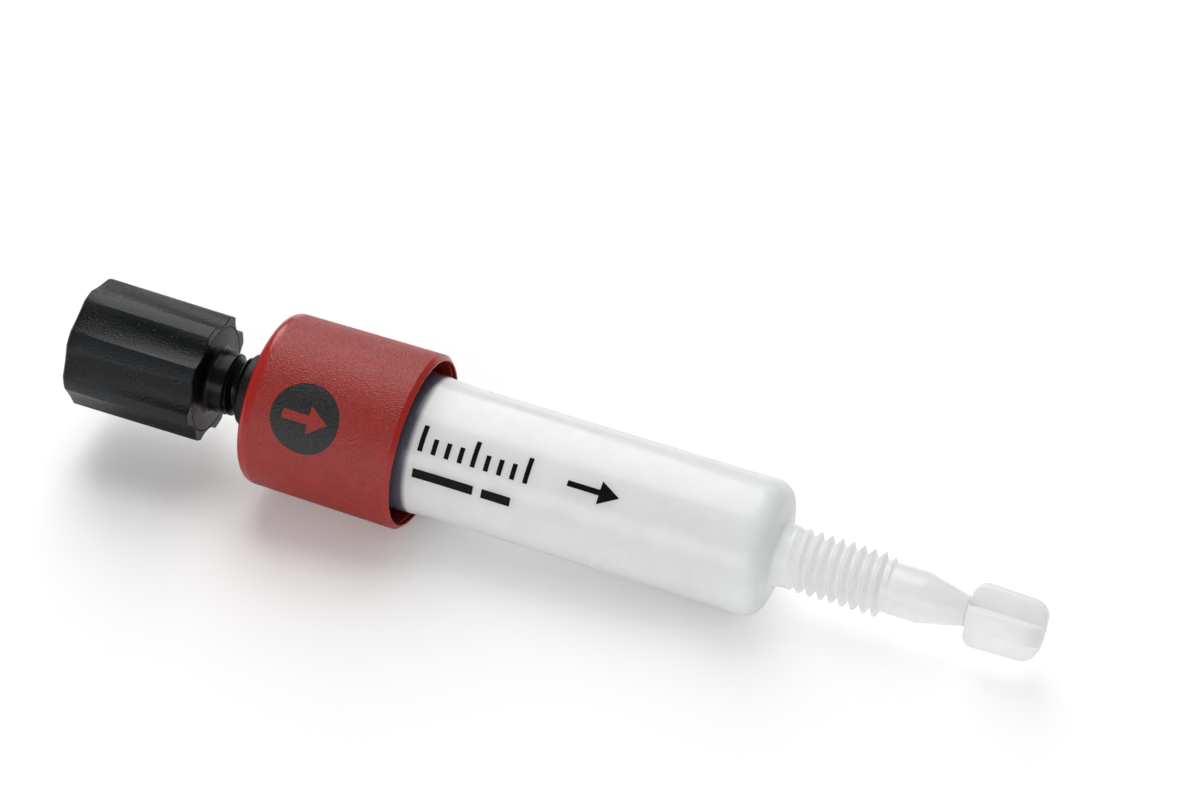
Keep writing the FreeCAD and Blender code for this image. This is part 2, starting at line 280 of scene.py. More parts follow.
class Shader:
    """Adds and links nodes in one node tree."""

    def __init__(self, tree: NodeTree) -> None:
        """Starts with the tree as it is."""
        self.tree = tree

    def node(self, kind: str, **settings: object) -> Node:
        """A new node with its settings made."""
        made = self.tree.nodes.new(kind)
        for key, value in settings.items():
            setattr(made, key, value)
        return made

    def feed(self, socket: NodeSocket, value: object) -> None:
        """Links a socket into another, or sets a plain value on it."""
        if isinstance(value, NodeSocket):
            self.tree.links.new(value, socket)
        else:
            socket.default_value = value

    def feed_all(self, node: Node, values: dict[str, object]) -> None:
        """Feeds several inputs of a node, each by its name."""
        for key, value in values.items():
            self.feed(node.inputs[key], value)

    def math(self, operation: str, *terms: object) -> NodeSocket:
        """The result of a Math node."""
        made = self.node("ShaderNodeMath", operation=operation)
        for index, term in enumerate(terms):
            self.feed(made.inputs[index], term)
        return made.outputs[0]

    def ramp(self, value: object, low: float, high: float, to_low: float = 0.0,
             to_high: float = 1.0) -> NodeSocket:
        """value taken smoothly from low..high to to_low..to_high."""
        made = self.node("ShaderNodeMapRange", interpolation_type="SMOOTHSTEP")
        for index, term in enumerate((value, low, high, to_low, to_high)):
            self.feed(made.inputs[index], term)
        return made.outputs[0]

    def mix(self, factor: object, first: object, second: object) -> NodeSocket:
        """A blend of two colours."""
        made = self.node("ShaderNodeMix", data_type="RGBA")
        self.feed(made.inputs["Factor"], factor)
        self.feed(made.inputs[6], first)
        self.feed(made.inputs[7], second)
        return made.outputs[2]

    def noise(self, place: object, scale: float, detail: float = 3.0,
              roughness: float = 0.5) -> NodeSocket:
        """A noise value from 0 to 1."""
        made = self.node("ShaderNodeTexNoise")
        self.feed_all(made, {"Vector": place, "Scale": scale, "Detail": detail, "Roughness": roughness})
        return made.outputs[0]

    def group(self, tree: NodeTree, **inputs: object) -> Node:
        """A placed node group with its inputs fed."""
        made = self.node("ShaderNodeGroup", node_tree=tree)
        self.feed_all(made, inputs)
        return made

    def space(self) -> Node:
        """The column's own place, angle and radius at the shaded point."""
        return self.group(Groups.column_space())

    @classmethod
    def material(cls, name: str) -> tuple[Material, "Shader", Node]:
        """A new material, its nodes and its Principled BSDF."""
        made = bpy.data.materials.new(name)
        made.use_nodes = True
        return made, cls(made.node_tree), made.node_tree.nodes["Principled BSDF"]

    def smeared(self, touch: Node, roughness: float, amount: float) -> NodeSocket:
        """A roughness that rises by up to amount where the handling group has its smears."""
        return self.math("ADD", self.math("MULTIPLY", touch.outputs["Smear"], amount), roughness)

    def bump(self, surface: Node, depth: float, height: object) -> None:
        """Feeds a surface's Normal from a height that is depth mm deep."""
        made = self.node("ShaderNodeBump")
        self.feed_all(made, {"Distance": depth * MM, "Height": height})
        self.feed(surface.inputs["Normal"], made.outputs[0])


def once(build: Callable[[type], NodeTree]) -> Callable[[type], NodeTree]:
    """Makes a builder give back the group of its own name where that is there already."""
    def found_or_built(cls: type) -> NodeTree:
        return bpy.data.node_groups.get(build.__name__) or build(cls)

    return found_or_built


class Groups:
    """The shader node groups that several finishes share, each built once."""

    @staticmethod
    def _new(name: str, inputs: dict[str, float], *outputs: str) -> tuple:
        """An empty group with its sockets, and its input and output nodes; only Place is a vector."""
        tree = bpy.data.node_groups.new(name, "ShaderNodeTree")
        for key, value in inputs.items():
            socket = tree.interface.new_socket(key, in_out="INPUT", socket_type="NodeSocketFloat")
            socket.default_value = value
        for key in outputs:
            kind = "NodeSocketVector" if key == "Place" else "NodeSocketFloat"
            tree.interface.new_socket(key, in_out="OUTPUT", socket_type=kind)
        return tree, tree.nodes.new("NodeGroupInput"), tree.nodes.new("NodeGroupOutput")

    @classmethod
    @once
    def column_space(cls) -> NodeTree:
        """Place along the axis, angle round it and distance from it, in mm and radians."""
        tree, _, out = cls._new("column_space", {}, "Place", "Along", "Round", "Radius")
        shader = Shader(tree)
        source = shader.node("ShaderNodeTexCoord")
        mapping = shader.node("ShaderNodeMapping", vector_type="TEXTURE")
        shader.feed_all(mapping, {
            "Vector": source.outputs["Object"], "Location": MOUTH, "Rotation": (0.0, DIP, 0.0),
            "Scale": (MM, MM, MM)})
        split = shader.node("ShaderNodeSeparateXYZ")
        shader.feed(split.inputs[0], mapping.outputs[0])
        front = shader.math("MULTIPLY", split.outputs["Y"], -1.0)
        shader.feed(out.inputs["Place"], mapping.outputs[0])
        shader.feed(out.inputs["Along"], split.outputs["X"])
        shader.feed(out.inputs["Round"], shader.math("ARCTAN2", front, split.outputs["Z"]))
        squares = shader.math("ADD", shader.math("POWER", split.outputs["Y"], 2.0),
                              shader.math("POWER", split.outputs["Z"], 2.0))
        shader.feed(out.inputs["Radius"], shader.math("SQRT", squares))
        return tree

    @classmethod
    @once
    def spark_grain(cls) -> NodeTree:
        """The pebbled texture of a spark-eroded mould: a height and a patchy shade."""
        tree, enter, out = cls._new("spark_grain", {"Size": 0.2, "Amount": 1.0}, "Height", "Shade")
        shader = Shader(tree)
        space = shader.group(cls.column_space())
        frequency = shader.math("DIVIDE", 1.0, enter.outputs["Size"])
        pebbles = shader.node("ShaderNodeTexVoronoi", feature="SMOOTH_F1")
        shader.feed_all(pebbles, {"Vector": space.outputs["Place"], "Scale": frequency, "Smoothness": 0.6})
        fine = shader.noise(space.outputs["Place"], scale=7.0, detail=4.0, roughness=0.65)
        broad = shader.noise(space.outputs["Place"], scale=0.8, detail=2.0)
        mixed = shader.math("ADD", pebbles.outputs["Distance"], shader.math("MULTIPLY", fine, 0.9))
        shader.feed(out.inputs["Height"], shader.math("MULTIPLY", mixed, enter.outputs["Amount"]))
        shade = shader.math("ADD", shader.math("MULTIPLY", mixed, 0.5),
                            shader.math("MULTIPLY", broad, 0.5))
        shader.feed(out.inputs["Shade"], shade)
        return tree

    @classmethod
    @once
    def handling(cls) -> NodeTree:
        """Faint flow streaks, smears and specks on a moulded surface."""
        tree, enter, out = cls._new("handling", {"Specks": 0.5}, "Smear", "Speck")
        shader = Shader(tree)
        space = shader.group(cls.column_space())
        stretch = shader.node("ShaderNodeMapping")
        shader.feed_all(stretch, {"Vector": space.outputs["Place"], "Scale": (0.25, 1.0, 1.0)})
        smear = shader.noise(stretch.outputs[0], scale=0.9, detail=4.0, roughness=0.6)
        specks = shader.noise(space.outputs["Place"], scale=5.5, detail=1.0, roughness=0.4)
        shader.feed(out.inputs["Smear"], shader.ramp(smear, 0.35, 0.65))
        speck = shader.math("MULTIPLY", shader.ramp(specks, 0.7, 0.76), enter.outputs["Specks"])
        shader.feed(out.inputs["Speck"], speck)
        return tree


Colour = tuple[float, float, float, float]
WHITE: Colour = (1.0, 1.0, 1.0, 1.0)


@dataclass(frozen=True)
class MouldedFinish:
    """An opaque moulded plastic with spark texture, polish towards chosen bands, and handling."""

    name: str
    slot: str
    colour: Colour
    shade: Colour
    roughness: float
    grain_size: float
    grain_height: float
    specks: float = 0.3
    specular: float = 0.5
    smear: float = 0.05
    shade_from: float = 0.35
    shade_to: float = 0.85
    speck_gain: float = 1.4
    speck_lift: float = 0.05

    def material(self) -> Material:
        """Builds the material."""
        made, shader, surface = Shader.material(self.name)
        grain = shader.group(Groups.spark_grain(), Size=self.grain_size, Amount=1.0)
        touch = shader.group(Groups.handling(), Specks=self.specks)
        shading = shader.ramp(grain.outputs["Shade"], self.shade_from, self.shade_to)
        colour = shader.mix(shading, self.colour, self.shade)
        pale = (min(part * self.speck_gain + self.speck_lift, 1.0) for part in self.colour[:3])
        speckled = shader.mix(touch.outputs["Speck"], colour, (*pale, 1.0))
        rough = shader.smeared(touch, self.roughness, self.smear)
        shader.feed_all(surface, {
            "Base Color": self.marked(shader, speckled), "Roughness": self.polished(shader, rough),
            "Specular IOR Level": self.specular})
        shader.bump(surface, self.grain_height, self.faded(shader, grain.outputs["Height"]))
        return made

    def marked(self, shader: Shader, colour: NodeSocket) -> NodeSocket:
        """Adds print to the colour; a plain piece has none."""
        return colour

    def polished(self, shader: Shader, rough: NodeSocket) -> NodeSocket:
        """Changes the roughness where the mould was smoother; a plain piece has no such band."""
        return rough

    def faded(self, shader: Shader, height: NodeSocket) -> NodeSocket:
        """Fades the texture where the mould was smoother; a plain piece has no such band."""
        return height


@dataclass(frozen=True)
class KnobFinish(MouldedFinish):
    """The knob's charcoal, greyer on the lands between the flutes: partly wear from fingers, partly a
    painted sheen.
    """

    land_from: float = 4.55
    land_to: float = 4.72
    rub: float = 0.8
    rubbed: Colour = (0.014, 0.016, 0.019, 1.0)

    def marked(self, shader: Shader, colour: NodeSocket) -> NodeSocket:
        """Pales the lands with wear and a painted sheen."""
        radius = shader.space().outputs["Radius"]
        # Paler lands: partly wear from fingers, partly painted sheen.
        wear_and_sheen_mask = shader.ramp(radius, self.land_from, self.land_to, 0.0, self.rub)
        return shader.mix(wear_and_sheen_mask, colour, self.rubbed)


@dataclass(frozen=True)
class CollarFinish(MouldedFinish):
    """The collar's red, smooth at its rounded inlet edge and lip, with a printed flow mark.

    The mark's arrow is laid out in mm from the mark's middle, along the flow.
    """

    mark_along: float = -6.75
    mark_round: float = 0.93
    mark_radius: float = 2.62
    shaft_middle: float = -0.55
    shaft_reach: float = 1.15
    shaft_half: float = 0.34
    head_back: float = 0.3
    head_tip: float = 1.75
    head_slope: float = 0.72
    collar_radius: float = 6.5
    skin: float = 0.3
    inlet_band: tuple[float, float] = (0.75, 1.15)
    lip_band: tuple[float, float] = (-0.12, 0.02)
    band_polish: float = 0.18
    band_depth: tuple[float, float, float] = (0.9, 0.55, 0.6)
    ink: Colour = (0.004, 0.003, 0.003, 1.0)

    def smooth_band(self, shader: Shader) -> NodeSocket:
        """1 on the smooth bands at both ends of the collar, 0 on its textured skirt."""
        along = shader.space().outputs["Along"]
        first, last = (At.COLLAR_INLET + edge for edge in self.inlet_band)
        return shader.math("MAXIMUM", shader.ramp(along, first, last, 1.0, 0.0),
                           shader.ramp(along, *self.lip_band))

    def arrow(self, shader: Shader, ahead: NodeSocket,
              aside: NodeSocket) -> NodeSocket:
        """1 inside a plain arrow that points with the flow.

        Args:
            shader: the material's nodes.
            ahead: how far ahead of the mark's middle, in mm.
            aside: how far from the mark's centre line, in mm.

        Returns:
            The arrow's mask.
        """
        from_shaft = shader.math("ABSOLUTE", shader.math("SUBTRACT", ahead, self.shaft_middle))
        shaft = shader.math("MULTIPLY", shader.math("LESS_THAN", aside, self.shaft_half),
                            shader.math("LESS_THAN", from_shaft, self.shaft_reach))
        slope = shader.math("MULTIPLY", shader.math("SUBTRACT", self.head_tip, ahead), self.head_slope)
        head = shader.math("MULTIPLY", shader.math("LESS_THAN", aside, slope),
                           shader.math("GREATER_THAN", ahead, self.head_back))
        return shader.math("MAXIMUM", shaft, head)

    def marked(self, shader: Shader, colour: NodeSocket) -> NodeSocket:
        """A round black mark with a plain arrow left open in it, pointing with the flow."""
        space = shader.space()
        ahead = shader.math("SUBTRACT", space.outputs["Along"], self.mark_along)
        arc = shader.math("SUBTRACT", space.outputs["Round"], self.mark_round)
        aside = shader.math("ABSOLUTE", shader.math("MULTIPLY", arc, self.collar_radius))
        reach = shader.math("SQRT", shader.math("ADD", shader.math("POWER", ahead, 2.0),
                                                shader.math("POWER", aside, 2.0)))
        disc = shader.math("LESS_THAN", reach, self.mark_radius)
        mark = shader.math("MULTIPLY", disc, shader.math("SUBTRACT", 1.0, self.arrow(shader, ahead, aside)))
        outside = shader.math("GREATER_THAN", space.outputs["Radius"], self.collar_radius - self.skin)
        deep = (part * share for part, share in zip(self.colour, self.band_depth))
        banded = shader.mix(self.smooth_band(shader), colour, (*deep, 1.0))
        return shader.mix(shader.math("MULTIPLY", mark, outside), banded, self.ink)

    def polished(self, shader: Shader, rough: NodeSocket) -> NodeSocket:
        """Smoother on the end bands."""
        eased = shader.math("MULTIPLY", self.smooth_band(shader), self.band_polish)
        return shader.math("SUBTRACT", rough, eased)

    def faded(self, shader: Shader, height: NodeSocket) -> NodeSocket:
        """No texture on the end bands."""
        kept = shader.math("SUBTRACT", 1.0, self.smooth_band(shader))
        return shader.math("MULTIPLY", height, kept)


@dataclass(frozen=True)
class MilkyFinish:
    """Clear to milky polypropylene: glossy skin, zones that follow what lies behind the wall, and painted
    shade at the collar's mouth.

    see_through is the share of the lamps' light that passes it on its way to the table.
    """

    name: str
    slot: str
    over_bed: Colour
    over_floor: Colour
    outlet: Colour
    over_spigot: Colour
    roughness: float
    transmission: float
    coat: float = 0.3
    coat_roughness: float = 0.04
    specular: float = 0.25
    milk: float = 0.7
    milk_depth: float = 2.5
    see_through: float = 0.75
    ior: float = 1.49
    specks: float = 0.25
    smear: float = 0.06
    cloud: float = 0.06
    ripple_height: float = 0.006

    def zoned(self, shader: Shader, along: NodeSocket) -> NodeSocket:
        """The colour along the barrel: dark spigot and painted shade at the collar's mouth, bed, thick
        floor, then the clear outlet.

        Args:
            shader: the material's nodes.
            along: the place along the axis, in mm.

        Returns:
            The zoned colour.
        """
        tube = shader.mix(shader.ramp(along, At.BED_END - 0.3, At.FLOOR + 0.5),
                          self.over_bed, self.over_floor)
        whole = shader.mix(shader.ramp(along, At.SHOULDER - 0.2, At.THREAD), tube, self.outlet)
        # Dark band at the collar's mouth: partly the black spigot seen through the wall, partly painted
        # shade under the mouth.
        spigot = shader.ramp(along, At.MOUTH + 0.6, At.BED_START + 0.35, 1.0, 0.0)
        return shader.mix(spigot, whole, self.over_spigot)

    def material(self) -> Material:
        """Builds the material."""
        made, shader, surface = Shader.material(self.name)
        touch = shader.group(Groups.handling(), Specks=self.specks)
        space = shader.space()
        cloud = shader.noise(space.outputs["Place"], scale=0.5, detail=3.0, roughness=0.6)
        tint = self.zoned(shader, space.outputs["Along"])
        shadow = shader.node("ShaderNodeLightPath").outputs["Is Shadow Ray"]
        # The cloud shifts the tint at random, a little, towards the same dark spigot-and-shade colour.
        shader.feed_all(surface, {
            "Base Color": shader.mix(shader.ramp(cloud, 0.3, 0.75, 0.0, self.cloud), tint, self.over_spigot),
            "Roughness": shader.smeared(touch, self.roughness, self.smear),
            "Alpha": shader.ramp(shadow, 0.0, 1.0, 1.0, 1.0 - self.see_through),
            "Transmission Weight": self.transmission, "IOR": self.ior,
            "Specular IOR Level": self.specular, "Subsurface Weight": self.milk,
            "Subsurface Radius": (1.0, 1.0, 1.0), "Subsurface Scale": self.milk_depth * MM,
            "Coat Weight": self.coat, "Coat Roughness": self.coat_roughness})
        ripple = shader.noise(space.outputs["Place"], scale=1.1, detail=2.0)
        shader.bump(surface, self.ripple_height, shader.math("ADD", ripple, touch.outputs["Speck"]))
        return made


@dataclass(frozen=True)
class PolishedFinish:
    """A smooth black plastic or elastomer with a faint moulding haze."""

    name: str
    slot: str
    colour: Colour
    roughness: float
    specular: float = 0.5
    specks: float = 0.4
    dust: float = 0.05
    smear: float = 0.1
    grain_size: float = 0.25
    grain: float = 0.4
    grain_height: float = 0.006

    def material(self) -> Material:
        """Builds the material."""
        made, shader, surface = Shader.material(self.name)
        touch = shader.group(Groups.handling(), Specks=self.specks)
        dusty = (*(part + self.dust for part in self.colour[:3]), 1.0)
        shader.feed_all(surface, {
            "Base Color": shader.mix(touch.outputs["Speck"], self.colour, dusty),
            "Roughness": shader.smeared(touch, self.roughness, self.smear),
            "Specular IOR Level": self.specular})
        grain = shader.group(Groups.spark_grain(), Size=self.grain_size, Amount=self.grain)
        shader.bump(surface, self.grain_height, grain.outputs["Height"])
        return made


@dataclass(frozen=True)
class PorousFinish:
    """White sintered frit or settled gel, grained by its beads."""

    name: str
    slot: str
    colour: Colour
    shade: Colour
    bead: float
    roughness: float = 0.85
    bead_height: float = 0.02

    def material(self) -> Material:
        """Builds the material."""
        made, shader, surface = Shader.material(self.name)
        space = shader.space()
        beads = shader.node("ShaderNodeTexVoronoi")
        shader.feed_all(beads, {"Vector": space.outputs["Place"], "Scale": 1.0 / self.bead})
        layers = shader.noise(space.outputs["Along"], scale=0.6, detail=2.0)
        tone = shader.math("ADD", shader.math("MULTIPLY", beads.outputs["Distance"], 0.5),
                           shader.math("MULTIPLY", layers, 0.4))
        shader.feed_all(surface, {
            "Base Color": shader.mix(tone, self.colour, self.shade), "Roughness": self.roughness})
        shader.bump(surface, self.bead_height, beads.outputs["Distance"])
        return made


class Finish(Enum):
    """Every finish on the column."""

    COLLAR = CollarFinish(
        "red_spark_texture", "red_plastic", (0.42, 0.016, 0.007, 1.0), (0.29, 0.009, 0.004, 1.0),
        roughness=0.36, grain_size=0.12, grain_height=0.045, specks=0.2, specular=0.55)
    KNOB = KnobFinish(
        "charcoal_spark_texture", "black_plastic", (0.006, 0.0075, 0.0085, 1.0),
        (0.002, 0.003, 0.0035, 1.0), roughness=0.27, grain_size=0.12, grain_height=0.022, specks=1.0,
        specular=0.24)
    BOSS = MouldedFinish(
        "black_spark_texture", "black_plastic", (0.006, 0.006, 0.007, 1.0), (0.003, 0.003, 0.004, 1.0),
        roughness=0.36, grain_size=0.14, grain_height=0.02, specks=0.4, specular=0.25)
    CORE = PolishedFinish(
        "glossy_black", "gloss_black_plastic", (0.003, 0.003, 0.0035, 1.0), roughness=0.22, specular=0.16)
    SEAL = PolishedFinish("seal_elastomer", "seal_rubber", (0.02, 0.02, 0.02, 1.0), roughness=0.4)
    BARREL = MilkyFinish(
        "milky_polypropylene", "milky_plastic", over_bed=(0.86, 0.863, 0.858, 1.0),
        over_floor=(0.90, 0.915, 0.92, 1.0), outlet=(0.89, 0.895, 0.895, 1.0),
        over_spigot=(0.11, 0.11, 0.145, 1.0), roughness=0.28, transmission=0.1)
    BED = PorousFinish(
        "settled_gel", "white_plastic", (0.93, 0.93, 0.92, 1.0), (0.84, 0.85, 0.85, 1.0), bead=0.09)
    FRIT = PorousFinish(
        "sintered_frit", "white_plastic", (0.90, 0.90, 0.89, 1.0), (0.74, 0.74, 0.74, 1.0), bead=0.16)
    PRINT = PolishedFinish(
        "black_print", "gloss_black_plastic", (0.002, 0.002, 0.002, 1.0), roughness=0.4, specular=0.12)

    def dress(self, piece: Object) -> Object:
        """Puts the finish on a piece."""
        name = self.value.name
        made = bpy.data.materials.get(name) or self.value.material()
        piece.data.materials.clear()
        piece.data.materials.append(made)
        return piece


class Drawn:
    """A piece that is drawn here: its name, body, finish, crisp angle and shape."""

    title: str
    body: str = COLUMN
    finish: Finish
    sharp: float = 35.0

    def shape(self, bm: BMesh) -> None:
        """Draws the piece into bm, in the column's millimetres."""
        raise NotImplementedError

    def build(self) -> Object:
        """Draws the piece and dresses it.

        Returns:
            The finished piece.
        """
        bm = bmesh.new()
        self.shape(bm)
        return self.finish.dress(finished(bm, self.title, self.body, self.sharp))


@dataclass
class Barrel(Drawn):
    """The milky moulding: flange, tube, floor, neck, threaded outlet, nozzle, web and tab."""

    title = "barrel_moulding"
    finish = Finish.BARREL
    steps: int = 128
    arc_steps: int = 8
    channel_stop: float = 0.5
    floor_fillet: float = 0.15
    under_flange: float = 5.24
    swell_length: float = 3.25
    swell_round: float = 3.0
    shoulder: float = 5.01
    shoulder_round: float = 1.45
    dome: float = 0.28
    neck: float = 2.37
    neck_end: float = 2.16
    thread_lead: float = 0.55
    thread_seam: float = 0.02
    thread_fade: float = 1.75
    thread_run_in: float = 0.5
    nozzle_foot: float = 1.80
    nozzle_seam: float = 0.05
    nozzle_round: float = 2.0
    nozzle: float = 1.84
    tip: float = 1.1
    web: float = 0.98
    web_length: float = 0.14
    thread_phase: float = 85.0
    arm: float = 2.26
    arm_draft: float = 0.14
    arm_thickness: float = 1.42
    arm_round: float = 0.8
    far_round: float = 1.2
    arm_edge: float = 0.14
    tab_roll: float = 59.0
    dish: float = 0.45
    dish_radius: float = 0.62
    nub: float = 0.3
    nub_round: float = 0.08
    nub_draft: float = 0.9
    nub_set: float = 0.01
    dish_steps: int = 48
    crisp: float = 40.0

    def shape(self, bm: BMesh) -> None:
        """Joins the tube, the thread, the nozzle and the tab into the one moulding."""
        swell = At.SHOULDER - self.dome
        start = At.THREAD - self.thread_lead
        share = (start - At.SHOULDER) / (At.THREAD - At.SHOULDER)
        lead_radius = self.neck + (self.neck_end - self.neck) * share
        channel_end = At.TIP - self.channel_stop
        lathe(bm, rounded([
            (channel_end, 0.0), (channel_end, Fit.CHANNEL), (At.FLOOR, Fit.CHANNEL),
            (At.FLOOR, Fit.BORE, self.floor_fillet), (At.SEAT, Fit.BORE),
            (At.SEAT, Fit.FLANGE, Fit.EDGE), (At.FLANGE_END, Fit.FLANGE, Fit.EDGE),
            (At.FLANGE_END, self.under_flange, Fit.EDGE), *WALL,
            (swell - self.swell_length, Fit.BARREL),
            (swell - self.shoulder_round, self.shoulder, self.swell_round),
            (swell, self.shoulder, self.shoulder_round), (At.SHOULDER, self.neck, Fit.SOFT),
            (start - self.thread_seam, lead_radius),
        ], self.arc_steps), self.steps)
        thread = ScrewThread(start, At.THREAD_END, Fit.OUTLET_MAJOR, self.thread_phase,
                             lead_radius, fade=self.thread_fade, run_in=self.thread_run_in)
        join(bm, thread.build())
        bmesh.ops.bridge_loops(bm, edges=ring_at(bm, start) + ring_at(bm, start - self.thread_seam))
        foot = At.THREAD_END + self.nozzle_seam
        web_start, web_end = At.TAB - self.web_length, At.TAB + self.nozzle_seam
        nozzle = bmesh.new()
        lathe(nozzle, rounded([
            (foot, self.nozzle_foot), (At.THREAD_END + 2 * self.nozzle_seam, self.nozzle),
            (At.CONE, self.nozzle, self.nozzle_round), (web_start, self.tip, Fit.EDGE),
            (web_start, self.web, Fit.FINE), (web_end, self.web), (web_end, 0.0),
        ], self.arc_steps), self.steps)
        join(bm, nozzle)
        bmesh.ops.bridge_loops(bm, edges=ring_at(bm, At.THREAD_END) + ring_at(bm, foot))
        join(bm, self.tab())

    def arm_profile(self) -> Path:
        """(along, radius) of an arm's outer edge, rounded at both corners."""
        far = self.arm - self.arm_draft
        return rounded([
            (At.TAB, 0.0), (At.TAB, self.arm, self.arm_round),
            (At.TAB_END, far, self.far_round), (At.TAB_END, 0.0),
        ], self.arc_steps)[1:-1]

    def tab(self) -> BMesh:
        """Four rounded arms drawn out of a square bar, with a dished far end and a gate nub.

        Returns:
            The tab's mesh.
        """
        bm = bmesh.new()
        half = self.arm_thickness / 2
        profile = self.arm_profile()
        bmesh.ops.create_cube(bm, size=1.0)
        middle = (At.TAB + At.TAB_END) / 2
        bmesh.ops.scale(bm, vec=(At.TAB_END - At.TAB, 2 * half, 2 * half), verts=bm.verts[:])
        bmesh.ops.translate(bm, vec=(middle, 0, 0), verts=bm.verts[:])
        for along, _ in profile:
            if At.TAB + LOOSE_WELD < along < At.TAB_END - LOOSE_WELD:
                bmesh.ops.bisect_plane(bm, geom=bm.verts[:] + bm.edges[:] + bm.faces[:],
                                       plane_co=(along, 0, 0), plane_no=(1, 0, 0))
        for side in (Vector((0, 1, 0)), Vector((0, -1, 0)), Vector((0, 0, 1)), Vector((0, 0, -1))):
            across = Vector((0, side.z, side.y))
            faces = [face for face in bm.faces if face.normal.dot(side) > 0.9
                     and abs(face.calc_center_median().dot(side) - half) < SAME_PLACE
                     and abs(face.calc_center_median().dot(across)) < half / 2]
            drawn = bmesh.ops.extrude_face_region(bm, geom=faces)
            bmesh.ops.delete(bm, geom=faces, context="FACES_ONLY")
            for vert in (part for part in drawn["geom"] if isinstance(part, BMVert)):
                radius = min(profile, key=lambda point: abs(point[0] - vert.co.x))[1]
                vert.co += side * (radius - vert.co.dot(side))
        bmesh.ops.recalc_face_normals(bm, faces=bm.faces[:])
        crisp = [edge for edge in bm.edges
                 if edge.is_manifold and edge.calc_face_angle() > radians(self.crisp)]
        bmesh.ops.bevel(bm, geom=crisp, affect="EDGES", offset=self.arm_edge, segments=3, profile=0.5,
                        material=-1, clamp_overlap=True)
        self.far_end(bm)
        bmesh.ops.rotate(bm, cent=(0, 0, 0), matrix=Matrix.Rotation(radians(self.tab_roll), 3, "X"),
                         verts=bm.verts[:])
        return bm

    def far_end(self, bm: BMesh) -> None:
        """Opens a round dish in the tab's far end and stands the gate's nub in it."""
        end = At.TAB_END
        caps = [face for face in bm.faces
                if face.normal.x > 0.99 and abs(face.calc_center_median().x - end) < SAME_PLACE]
        bmesh.ops.delete(bm, geom=caps, context="FACES_ONLY")
        rim = ring_at(bm, end)
        dish = bmesh.new()
        floor = end - self.dish
        top = end - self.nub_set
        lathe(dish, rounded([
            (end, self.dish_radius), (floor, self.nub + Fit.FINE, Fit.FINE),
            (floor, self.nub), (top, self.nub * self.nub_draft, self.nub_round), (top, 0.0),
        ], self.arc_steps // 2), self.dish_steps)
        join(bm, dish)
        circle = [edge for edge in ring_at(bm, end) if edge not in rim]
        bmesh.ops.triangle_fill(bm, edges=rim + circle, use_beauty=True, use_dissolve=False)


@dataclass
class BarrelPrint(Drawn):
    """Plain ticks, bars and a flow arrow printed along the barrel, on two lines.

    The arrow's shaft and head are (start, length, height); a bar is (start, length).
    """

    title = "barrel_print"
    finish = Finish.PRINT
    sharp = 30.0
    lift: float = 0.012
    radius: float = 5.0
    grid: int = 8
    turn: float = 3.65
    start: float = 1.45
    ticks: int = 9
    tick_step: float = 1.0
    tick_width: float = 0.36
    tick_foot: float = 0.95
    long_tick: float = 1.9
    short_tick: float = 1.15
    long_every: int = 4
    shaft: tuple[float, float, float] = (12.6, 2.6, 0.42)
    head: tuple[float, float, float] = (15.0, 1.5, 1.7)
    bars: tuple[tuple[float, float], ...] = ((1.45, 4.6), (6.7, 2.2))
    bar_height: float = 0.7
    bar_drop: float = 2.6

    def strip(self, bm: BMesh, along: float, length: float, height: float,
              drop: float = 0.0, point: bool = False) -> None:
        """Adds one printed bar, or an arrow's head, wrapped on the barrel.

        Args:
            bm: the print's mesh.
            along: where the shape starts, in mm.
            length: its size along the axis, in mm.
            height: its size round the barrel, in mm.
            drop: how far below the first line its middle lies, in mm of arc.
            point: whether it narrows to a point towards the outlet.
        """
        made = bmesh.ops.create_grid(bm, x_segments=self.grid, y_segments=self.grid, size=0.5)
        for vert in made["verts"]:
            x, y = vert.co.x + 0.5, vert.co.y
            arc = self.turn + drop + y * height * ((1.0 - x) if point else 1.0)
            radius = self.surface(along + x * length) + self.lift
            vert.co = Vector((along + x * length, -radius * sin(arc / self.radius),
                              radius * cos(arc / self.radius)))

    def surface(self, along: float) -> float:
        """The barrel's outer radius at one place."""
        for (start, wide), (end, narrow) in zip(WALL, WALL[1:]):
            if along < end:
                return wide + (narrow - wide) * (along - start) / (end - start)
        return Fit.BARREL

    def shape(self, bm: BMesh) -> None:
        """Lays out both printed lines."""
        for index in range(self.ticks):
            tall = self.short_tick if index % self.long_every else self.long_tick
            self.strip(bm, self.start + index * self.tick_step, self.tick_width, tall,
                       drop=self.tick_foot - tall / 2)
        self.strip(bm, *self.shaft)
        self.strip(bm, *self.head, point=True)
        for start, length in self.bars:
            self.strip(bm, start, length, self.bar_height, drop=self.bar_drop)
        bmesh.ops.remove_doubles(bm, verts=bm.verts[:], dist=LOOSE_WELD)


